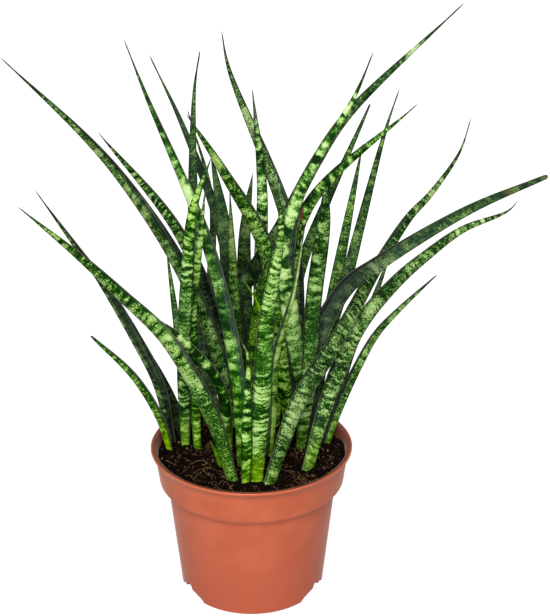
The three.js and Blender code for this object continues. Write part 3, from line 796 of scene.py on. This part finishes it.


# A leaf's tone scales its brightness. It is partly the leaf's own colour and partly painted light and
# shade, set leaf by leaf, and it is lowest on leaves deep in the clump.
LOOKS = dict(zip(NAMES, [
    # front clump
    look(6, 0.9, 0.8, ("pale", 0.56, 0.02, 0.6), ("pale", 0.48, 0.025, 0.9), ("pale", 0.37, 0.04, 0.4),
         ("bands", 0.17, 0.13, -0.8), ("dark", 0.4, 0.1, 0.12), tone=0.92, fresh=0.35, foot=0.1, dry=10,
         dark=0.02),
    look(4, 1.1, 0.4, tone=1.2, fresh=0.35, foot=0.4),
    look(3.2, 0.9, 0.45, ("pale", 0.72, 0.14, 0.6), ("pale", 0.34, 0.03, 0.9),
         ("bands", 0.47, 0.07, -0.5), ("pale", 0.24, 0.03, 0.7), ("pale", 0.29, 0.02, -0.6),
         ("foot", 0.1, 0.1, 0.3), tone=1.15, foot=0.5),
    look(3.4, 0.9, 0.8, ("pale", 0.8, 0.04, 0.7), ("pale", 0.65, 0.07, -0.5), tone=0.7, fresh=0.2,
         foot=0.2, dry=16),
    look(7, 0.7, 0.4, ("pale", 0.65, 0.035, 1.3), ("fresh", 0.15, 0.15, 0.4),
         ("pale", 0.31, 0.015, 0.8), ("dark", 0.35, 0.2, 0.25), tone=1.2, groove=0.6, fresh=0.1,
         foot=0.2, dry=20),
    look(6.5, 1.3, 0.4, ("pale", 0.7, 0.12, 0.4), ("pale", 0.32, 0.14, -0.8), tone=1.25, foot=0.7),
    # left clump
    look(4.2, 1, 0.45, ("bands", 0.47, 0.1, -0.6), ("pale", 0.86, 0.08, 0.6),
         ("fresh", 0.85, 0.15, 0.5), tone=1.2, fresh=0.1, foot=0.8),
    look(3.6, 0.9, 0.5, ("pale", 0.85, 0.14, 0.8), ("pale", 0.4, 0.1, -0.4), tone=1.35, fresh=0.4,
         foot=0.35),
    look(6, 0.9, 0.7, ("dark", 0.45, 0.22, 0.3), tone=0.72, fresh=0.2, dry=20, dark=0.25),
    look(tone=0.5),
    look(5, 0.8, 0.7, tone=1.1, fresh=0.5, foot=0.9, dry=2, dark=0.1),
    look(5, 0.4, 0.7, tone=1.1, groove=0.5),
    # right clump
    look(4.2, 1.1, 0.8, ("bands", 0.6, 0.15, -0.4), ("pale", 0.85, 0.02, 0.8),
         ("pale", 0.48, 0.02, 0.3), tone=0.92, foot=0.6, fresh=0.15, dry=25),
    look(6, 0.5, 0.8, tone=0.88, dark=-0.1),
    look(5.6, 1, 0.6, ("bands", 0.5, 0.2, -0.6), tone=0.95, fresh=0.15, dry=1.5, dark=0.1),
    look(9, 0.6, 0.6, ("pale", 0.75, 0.15, 0.5), ("pale", 0.46, 0.03, 0.8), pale=0.5, tone=1.1,
         dark=-0.3, fresh=0.6),
    look(6, 0.5, 0.8, tone=0.8, fresh=0.5, groove=0.3, dark=-0.08),
    look(6, 0.6, 0.7, tone=0.6, groove=0.35),
    look(8, 0.5, 0.6, ("dark", 0.45, 0.2, 0.3), ("rust", 0.905, 0.008, 0.3), ("rust", 1, 0.008, 0.9),
         ("pale", 0.555, 0.004, 1.6), ("fresh", 0.8, 0.2, 0.6), ("bands", 0.78, 0.2, 0.4), tone=1.15,
         fresh=-0.1, dry=1.5, groove=1),
    look(6, 0.4, 0.7, tone=1.1, fresh=-0.1, groove=0.5),
    look(5, 0.6, 0.5, ("rust", 1, 0.055, 1.7), ("tone", 1, 0.06, -0.3), tone=0.9, dry=0.5),
    look(7, 0.5, 0.9, ("pale", 0.78, 0.03, 1), ("dark", 0.45, 0.14, 0.3), tone=0.82, fresh=0, dry=25,
         dark=0.08),
    look(6.8, 1.2, 0.45, ("bands", 0.25, 0.15, -0.7), ("pale", 0.36, 0.02, 0.6),
         ("dark", 0.52, 0.08, 0.5), pale=0.25, tone=1.3, fresh=0.15, dry=20),
    # back clump
    look(8, 0.7, 0.8, ("dark", 0.6, 0.18, 0.16), ("pale", 0.73, 0.012, 0.8), ("pale", 0.58, 0.03, 0.6),
         tone=0.76, fresh=0.2, dry=20, dark=0.1),
    look(3.4, 1.3, 0.4, ("dark", 0.45, 0.15, 0.3), tone=0.85, fresh=0.2, dry=20),
    look(6, 0.4, 0.5, tone=0.8, groove=1),
    look(6, 0.5, 0.8, tone=0.95, groove=0.8),
    look(groove=0.6),
    look(5, 0.7, 0.9, ("pale", 0.86, 0.03, 1.2), ("bands", 0.15, 0.2, 0.6), ("fresh", 0.15, 0.2, 0.3),
         tone=0.92, fresh=0.5, dark=0.06),
    look(6, 0.4, 0.5, tone=0.7, groove=1),
    look(5, 0.6, 0.7, ("pale", 0.85, 0.1, 0.9), tone=0.48, fresh=0.4),
    look(6.5, 1.2, 0.7, tone=1.35, fresh=0.1, dry=32, dark=0.06),
    look(7, 0.6, 0.8, tone=0.52, groove=0.5),
    look(7, 0.5, 0.5, ("pale", 0.88, 0.015, 1.2), ("tone", 0.35, 0.2, -0.8), tone=1.2, fresh=-0.2,
         dry=14),
    look(5, 0.4, 0.4, tone=0.8, groove=0.3),
    look(6, 1.2, 0.6, tone=1.25, fresh=0.4, dark=0.04),
    look(5, 0.4, 0.8, tone=0.46, dark=0.2, fresh=0.9),
    # young shoots and one dead stub
    look(4, 0.5, 0.4, pale=0.2, fresh=1, dry=2),
    look(4, 0.5, 0.4, ("rust", 1, 0.1, 0.3), fresh=0.8, dry=0.5),
    look(4, 0.5, 0.6, ("pale", 1, 0.1, 1.5), dry=0.5),
], strict=True))


def amounts_along(look, along):
    """Each amount at each ring: its own value plus, for each zone, the change times the bell curve
    exp(-(distance / half length)^2)."""
    spread = {key: value + 0 * along for key, value in look["amounts"].items()}
    for key, at, half, change in look["zones"]:
        spread[key] = spread[key] + change * np.exp(-(((along - at) / half) ** 2))
    return spread


# %% Leaf builder
PATTERN_ASIDE, PATTERN_ALONG = 31.7, 173.3
STRIP_EDGE, CHANNEL_FADE, FULLY_DRY = 0.03, 0.5, 0.1


def build_leaf(name, row, look, seed):
    """Rings of the outline across the midrib, and the looks of their points. The back direction
    is the leaf's own, made square to the midrib, and the side direction is forward x back."""
    root, first = np.array(row["points"][0]), np.array(row["points"][1])
    curve = midrib([root + unit(root - first) * LEAF_BURIED, *row["points"]])
    length = at_shares(curve, np.array([0.0]))[2]
    shares, rounding = ring_shares(row, length)
    centre, forward, length = at_shares(curve, shares)
    turn = math.radians(row["back"])
    back = np.array([math.cos(turn), math.sin(turn), 0.0])
    back = unit(back - (forward @ back)[:, None] * forward)
    side = np.cross(forward, back)
    along, to_tip = shares * length, (1 - shares) * length
    width = (blade_width(row, shares, to_tip) * rounding)[:, None]
    depth = CHANNEL_DEPTH + (TIP_DEPTH - CHANNEL_DEPTH) * smooth(ROUND_TIP_FROM, 1, shares)
    across = across_shares * width
    deep = (back_shares + channel_shares * depth[:, None] - MID_DEPTH) * width
    rings = centre[:, None] + across[..., None] * side[:, None] + deep[..., None] * back[:, None]
    box = [np.array(corner) / MM for corner in cad_box]
    piece = skin(name, np.clip(rings, *box), *np.clip(curve[[0, -1]], *box))

    amount = {key: value[:, None] for key, value in amounts_along(look, shares).items()}
    margin = (0.5 - np.abs(across_shares)) * width
    # Painted shade: a share of the width at one margin, on the side turned from the light, is darkened
    # like the channel.
    inside = 0.5 - np.abs(amount["dark"]) - np.sign(amount["dark"]) * across_shares
    shade_strip = smooth(STRIP_EDGE, -STRIP_EDGE, inside) * (amount["dark"] != 0)
    groove = amount["groove"] * np.maximum(on_channel * (1 - CHANNEL_FADE * shares[:, None]), shade_strip)
    dried = smooth(look["dry"], FULLY_DRY * look["dry"], to_tip)[:, None]
    foot = amount["foot"] * smooth(FOOT_REACH, 0, along - LEAF_BURIED)[:, None]

    def on_points(*values):
        """Three values for each point, with the first and last ring's values for the two ends."""
        stack = np.stack([np.broadcast_to(value, across.shape) for value in values], -1)
        stack = stack.reshape(-1, 3)
        return np.concatenate([stack[:1], stack, stack[-1:]])

    paint(
        piece,
        place=on_points(across + PATTERN_ASIDE * seed, deep, along[:, None] + PATTERN_ALONG * seed),
        edge=on_points(margin, groove, dried),
        pattern=on_points(amount["period"], amount["bands"], amount["speckle"]),
        coat=on_points(amount["pale"], amount["rust"], foot),
        tint=on_points(amount["tone"], amount["fresh"], shares[:, None]),
    )
    return piece


# %% [markdown]
# ## Leaf finish
#
# The skin is dark blue-green, crossed by ragged lighter bands that break up into blots and flecks, with
# a thin pale thread along each margin, a dark purple channel deepened by painted shade, painted shade
# along one margin of some leaves, a yellow-green foot and a tip dried to purple grey. An even stripe
# pattern would look printed. Here noises are added: one squeezed along the leaf for the bands, others
# for the blots, the flecks and broad patches. The skin turns light wherever their sum is high, which
# breaks the bands up as the plant does.

# %% Leaf markings
marks, given, result = new_group(
    "leaf_marks",
    {"Place": "Vector", "Period": "Float", "Bands": "Float", "Speckle": "Float", "Pale": "Float"},
    {"Sum": "Float", "Fleck": "Float"},
)
# for each noise: scale across, scale along, detail, roughness, and how far it swings about 0
NOISES = {
    "ragged": (0.8, 0.5, 2.5, 0.5, 3.0),
    "waving": (0.14, 0.05, 1.0, 0.5, 5.0),
    "blot": (0.45, 0.75, 2.5, 0.5, 3.4),
    "fleck": (1.15, 2.0, 2.0, 0.6, 6.5),
    "patch": (0.05, 0.045, 1.0, 0.5, 1.8),
}
BAND_SCALE, BAND_DRIFT, BAND_SWING, BLOT_SHARE = 1.7, 0.11, 5.0, 0.6


def centred(value, gain):
    """Noise moved so that it swings evenly about 0."""
    return maths("MULTIPLY_ADD", value, gain, -gain / 2)


clouds, swing = {}, {}
for name, (across, along, detail, roughness, gain) in NOISES.items():
    clouds[name] = streaks(given["Place"], (across, across, along), detail, roughness)
    swing[name] = centred(clouds[name], gain)
axes = parts(given["Place"])
shifted = maths("ADD", maths("ADD", swing["ragged"], swing["waving"]), axes["Z"])
squeezed = maths("DIVIDE", maths("MULTIPLY", shifted, BAND_SCALE), given["Period"])
sideways = maths("MULTIPLY", axes["X"], BAND_DRIFT)
band_place = add_node(marks, "CombineXYZ", {0: sideways, 1: 0.0, 2: squeezed}).outputs[0]
band = centred(noise(band_place, 1.0, detail=1.0), BAND_SWING)
speckled = maths("MULTIPLY_ADD", swing["blot"], BLOT_SHARE, swing["fleck"])
total = maths("MULTIPLY_ADD", speckled, given["Speckle"], maths("MULTIPLY", band, given["Bands"]))
total = maths("ADD", maths("ADD", total, swing["patch"]), given["Pale"])
marks.links.new(total, result["Sum"])
marks.links.new(clouds["fleck"], result["Fleck"])

# %% Leaf materials
DEEP_TO_MIDDLE, MIDDLE_TO_BRIGHT, BRIGHT_TO_PALE = (-0.7, 0.25), (0.12, 0.6), (0.5, 1.6)
MARGIN_SPAN, MARGIN_DARKER, FADED_SHARE, GROOVE_SHARE = (0.1, 1.0), 0.6, 0.75, 0.95
FOOT_DARK, FOOT_LIGHT, FOOT_SPAN = (0.05, 0.16, 0.010, 1), (0.27, 0.46, 0.020, 1), (-0.9, 0.8)
# Channel colours. The near-black one is also painted shade, along the margins that a leaf's dark amount
# picks.
GROOVE_GREY, GROOVE_AND_SHADE_DARK = (0.028, 0.046, 0.038, 1), (0.006, 0.007, 0.011, 1)
GROOVE_LINE, LINE_SPAN, LINE_SHARE = (0.070, 0.105, 0.070, 1), (0.50, 0.62), 0.8
GROOVE_SPAN, RUST_SPAN = (0.5, 0.9), (0.3, 0.6)
THREAD, THREAD_SPAN, THREAD_SHARE = (0.30, 0.30, 0.20, 1), (0.28, 0.08), 0.26
RUST, TIP_GREY = (0.34, 0.150, 0.078, 1), (0.045, 0.038, 0.055, 1)
LINE_SCALES, RIB_SCALES = (1.5, 0.0, 0.012), (2.6, 2.6, 0.05)
FLECK_HEIGHT, LEAF_RELIEF, LEAF_GLOSS, FRESHNESS = 0.35, 0.00012, (0.16, 0.34), (0.40, 0.96)


def leaf_material(name, deep, middle, bright, pale):
    """Four colours for the sum of the markings from low to high, then the foot, the channel with its
    painted shade, the margin, dry brown and the dried tip, and at the end each leaf's tone, partly
    painted light and shade, and its freshness."""
    material, tree, shader = new_material(name, IOR=1.45, Specular_IOR_Level=0.10)
    place = attribute(tree, "place", "Vector")
    edge, pattern, coat, tint = (
        parts(attribute(tree, key, "Vector")) for key in ("edge", "pattern", "coat", "tint")
    )
    sockets = {"Place": place, "Period": pattern["X"], "Bands": pattern["Y"]}
    painted = placed(marks, {**sockets, "Speckle": pattern["Z"], "Pale": coat["X"]})
    inside = step_up(edge["X"], *MARGIN_SPAN, MARGIN_DARKER, 0.0)
    total = maths("SUBTRACT", painted["Sum"], inside)
    # The channel's own purple deepened by painted shade, and the painted shade along one margin.
    groove = layered(GROOVE_GREY, [
        (step_up(edge["Y"], *GROOVE_SPAN), GROOVE_AND_SHADE_DARK),
        (step_up(streaks(place, LINE_SCALES), *LINE_SPAN, 0.0, LINE_SHARE), GROOVE_LINE),
    ])
    brown = step_up(painted["Fleck"], *RUST_SPAN)
    colour = layered(deep, [
        (step_up(total, *DEEP_TO_MIDDLE), middle),
        (step_up(total, *MIDDLE_TO_BRIGHT), bright),
        (step_up(total, *BRIGHT_TO_PALE, 0.0, FADED_SHARE), pale),
        (coat["Z"], blend_colours(step_up(total, *FOOT_SPAN), FOOT_DARK, FOOT_LIGHT)),
        (maths("MULTIPLY", edge["Y"], GROOVE_SHARE), groove),
        (step_up(edge["X"], *THREAD_SPAN, 0.0, THREAD_SHARE), THREAD),
        (maths("MULTIPLY", coat["Y"], brown, clamp=True), RUST),
        (edge["Z"], TIP_GREY),
    ])
    strong = maths("MULTIPLY_ADD", tint["Y"], *FRESHNESS)
    # Value is the leaf's tone: partly its own colour, partly painted light and shade.
    sockets = {"Color": colour, "Saturation": strong, "Value": tint["X"]}
    toned = add_node(tree, "HueSaturation", sockets).outputs[0]
    fleck, ribs = painted["Fleck"], streaks(place, RIB_SCALES)
    skin_height = maths("MULTIPLY_ADD", fleck, FLECK_HEIGHT, ribs)
    surface(shader, toned, fleck, LEAF_GLOSS, skin_height, LEAF_RELIEF)
    return material


leaf_finishes = {
    "leaf": leaf_material("leaf_skin", (0.003, 0.016, 0.0018, 1), (0.029, 0.125, 0.012, 1),
                          (0.30, 0.50, 0.140, 1), (0.60, 0.73, 0.36, 1)),
    "shoot": leaf_material("young_leaf_skin", (0.03, 0.13, 0.010, 1), (0.11, 0.30, 0.015, 1),
                           (0.26, 0.48, 0.03, 1), (0.42, 0.56, 0.12, 1)),
    "dry": leaf_material("dry_leaf_skin", (0.05, 0.022, 0.010, 1), (0.12, 0.055, 0.022, 1),
                         (0.30, 0.16, 0.07, 1), (0.50, 0.38, 0.22, 1)),
}
print(len(leaf_finishes), "leaf finishes")

# %% Leaves in place
SLOTS = {"leaf": "leaf", "shoot": "young_leaf", "dry": "dead_leaf"}
for number, (name, row) in enumerate(LEAVES.items()):
    kind = name.split("_")[0]
    piece = build_leaf("blade_" + name, row, LOOKS[name], number)
    finish_piece(piece, leaf_finishes[kind], SLOTS[kind], name)
print("leaves built")

# %% [markdown]
# ## Litter on the soil
#
# Crumbs of peat, and coir fibres that curl every way, make potting mix look real. A particle
# system could scatter them, but couldn't be steered round the leaves. Each crumb is a rough lump
# with twenty faces, each fibre a bent thread with four sides, and both follow the height map.

# %% Free places on the bed
roots = np.array([row["points"][0][:2] for row in LEAVES.values()])
root_room = np.array([row["width"] for row in LEAVES.values()]) / 2


def is_free(x, y, extra):
    """True where a point is farther from every leaf's root than half that leaf's width + extra."""
    apart = np.hypot(x[..., None] - roots[:, 0], y[..., None] - roots[:, 1])
    return (apart > root_room + extra).all(-1)


def scattered(count, reach):
    """Random points spread evenly over a disc: the radius is the square root of a random share."""
    radius, angle = reach * np.sqrt(rng.random(count)), math.tau * rng.random(count)
    return radius * np.cos(angle), radius * np.sin(angle)


def skewed(low, high, count, power):
    """Random numbers from low to high: the higher the power, the more of them lie near low."""
    return low + (high - low) * rng.random(count) ** power


# %% Crumbs
CRUMBS, CRUMB_SIZES, CRUMB_SKEW, SHADE_SKEW = 2600, (0.35, 1.5), 3, 2
CRUMB_BULGE, CRUMB_FLATNESS, CRUMB_LIFT = (0.6, 1.25), (0.5, 1.0), 0.25
CRUMB_TO_WALL, CRUMB_TO_LEAF = 1.6, 0.3
golden = (1 + 5**0.5) / 2
corners = np.array([(0, a, b * golden) for a in (-1, 1) for b in (-1, 1)])
ball = np.concatenate([np.roll(corners, turn, axis=1) for turn in range(3)]) / math.hypot(1, golden)
edge = np.linalg.norm(ball[:, None] - ball, axis=-1)
near = (edge > 0) & (edge < 1.1)  # an edge is 1.05, the next distance 1.7
threes = np.array([(a, b, c) for a in range(12) for b in range(a) for c in range(b)])
a, b, c = threes.T
threes = threes[near[a, b] & near[b, c] & near[a, c]]
a, b, c = ball[threes.T]
out = np.einsum("ij,ij->i", np.cross(a, b), c)
ball_faces = np.where(out[:, None] > 0, threes, threes[:, ::-1])

x, y = scattered(CRUMBS, bed_radius - CRUMB_TO_WALL)
free = is_free(x, y, CRUMB_TO_LEAF)
x, y = x[free], y[free]
size = skewed(*CRUMB_SIZES, len(x), CRUMB_SKEW)
bulge = rng.uniform(*CRUMB_BULGE, (len(x), 12, 1))
flat = rng.uniform(*CRUMB_FLATNESS, (len(x), 1, 3))
place = np.stack([x, y, soil_height(x, y) + CRUMB_LIFT * size], -1)[:, None]
points = place + ball * bulge * flat * size[:, None, None]
crumbs = new_piece("soil_crumbs", *repeated(points, (np.zeros((0, 4), int), ball_faces)))
paint(crumbs, shade=np.repeat(skewed(0, 1, len(x), SHADE_SKEW), 12))
print("crumbs", len(x))

# %% Fibres
FIBRES, FIBRE_RINGS, FIBRE_SIDES = 950, 11, 4
FIBRE_LENGTHS, FIBRE_THICKNESS, FIBRE_SKEW = (4.0, 16.0), (0.11, 0.27), 2
FIBRE_BEND, FIBRE_WAVE, FIBRE_LIFT, FIBRE_RISE = 2.2, 0.7, (1.5, 0.7), 0.3
START_TO_WALL, FIBRE_TO_WALL, FIBRE_TO_LEAF, OVER_RIM = 2, 1, 0.6, 1
END_ANGLE, END_POWER = 0.25, 0.4
FIBRE_SHADES, FIBRE_SHADE_SKEW, TINY = (0.3, 1.0), 1.1, 1e-9


def tubes(centres, radius):
    """Thin tubes round the paths in centres, [tube, ring, xyz]. Each ring lies in the plane of the
    upward direction and the path's level side: both are square to a nearly level path."""
    ahead = np.gradient(centres, axis=1)
    ahead[..., 2] *= FIBRE_RISE
    ahead = unit(ahead, TINY)
    side = unit(np.cross(ahead, (0, 0, 1.0)), TINY)
    up = np.cross(side, ahead)
    angle = full_turn(FIBRE_SIDES)[:, None]
    ring = np.cos(angle) * side[..., None, :] + np.sin(angle) * up[..., None, :]
    rings = centres[:, :, None] + ring * radius[..., None, None]
    flat = rings.reshape(len(centres), -1, 3)
    return np.concatenate([centres[:, :1], flat, centres[:, -1:]], 1)


def curls(x, y, length, turn, bend, wave, lift):
    """Paths that start at x, y; each argument is a column. The heading is turn + bend s + wave
    sin(2 pi s + turn), with s from 0 to 1 along the fibre, and the path is its running sum."""
    s = np.linspace(0, 1, FIBRE_RINGS)
    heading = turn + bend * s + wave * np.sin(math.tau * s + turn)
    step = length / FIBRE_RINGS
    px, py = x + np.cumsum(np.cos(heading) * step, 1), y + np.cumsum(np.sin(heading) * step, 1)
    return np.stack([px, py, soil_height(px, py) + lift * np.sin(math.pi * s)], -1)


x, y = scattered(FIBRES, bed_radius - START_TO_WALL)
length = skewed(*FIBRE_LENGTHS, FIBRES, FIBRE_SKEW)
turn, bend = rng.uniform(0, math.tau, FIBRES), rng.normal(0, FIBRE_BEND, FIBRES)
wave, lift = rng.normal(0, FIBRE_WAVE, FIBRES), rng.gamma(*FIBRE_LIFT, FIBRES)
paths = curls(*(value[:, None] for value in (x, y, length, turn, bend, wave, lift)))
x, y, height = paths.transpose(2, 0, 1)
inside = (np.hypot(x, y) < bed_radius - FIBRE_TO_WALL).all(1)
low = (height < POT_HEIGHT + OVER_RIM).all(1)
paths = paths[inside & low & is_free(x, y, FIBRE_TO_LEAF).all(1)]
thick = skewed(*FIBRE_THICKNESS, len(paths), FIBRE_SKEW)
taper = np.sin(np.linspace(END_ANGLE, math.pi - END_ANGLE, FIBRE_RINGS)) ** END_POWER
points = tubes(paths, thick[:, None] * taper)
fibres = new_piece("soil_fibres", *repeated(points, skin_faces(FIBRE_RINGS, FIBRE_SIDES)))
shade = skewed(*FIBRE_SHADES, len(paths), FIBRE_SHADE_SKEW)
paint(fibres, shade=np.repeat(shade, points.shape[1]))
print("fibres", len(paths))

# %% [markdown]
# Wet peat is nearly black, and dry fibre is tan. One finish serves the bed, the crumbs and the
# fibres: a shade that is stored on each lump and thread picks the colour.

# %% Soil finish
PEAT_BLACK, PEAT_BROWN = (0.0018, 0.0008, 0.0005, 1), (0.012, 0.005, 0.0022, 1)
COIR_TAN, CRUMB_GRAIN = (0.28, 0.155, 0.075, 1), 0.0012
BROWN_SPAN, DRY_SPAN, ROUGH_SPAN = (0.40, 0.75), (0.52, 1.1), (0.2, 0.6)


def soil_material(name, relief):
    """Black to brown by a fine grain, and on to tan by the stored shade."""
    material, tree, shader = new_material(name, Roughness=0.9, Specular_IOR_Level=0.05)
    crumb = placed(grain, {"Vector": object_place(tree), "Size": CRUMB_GRAIN})["Mask"]
    dry = maths("MULTIPLY", step_up(attribute(tree, "shade"), *DRY_SPAN), step_up(crumb, *ROUGH_SPAN))
    colour = layered(PEAT_BLACK, [(step_up(crumb, *BROWN_SPAN), PEAT_BROWN), (dry, COIR_TAN)])
    fill(shader, {"Base Color": colour, "Normal": bump(crumb, relief)})
    return material


litter = soil_material("coir_and_peat", relief=0.0002)
finish_piece(soil, soil_material("potting_mix", relief=0.0012), "compost", "soil")
finish_piece(crumbs, litter, "compost")
finish_piece(fibres, litter, "compost")
print("soil finish ready")
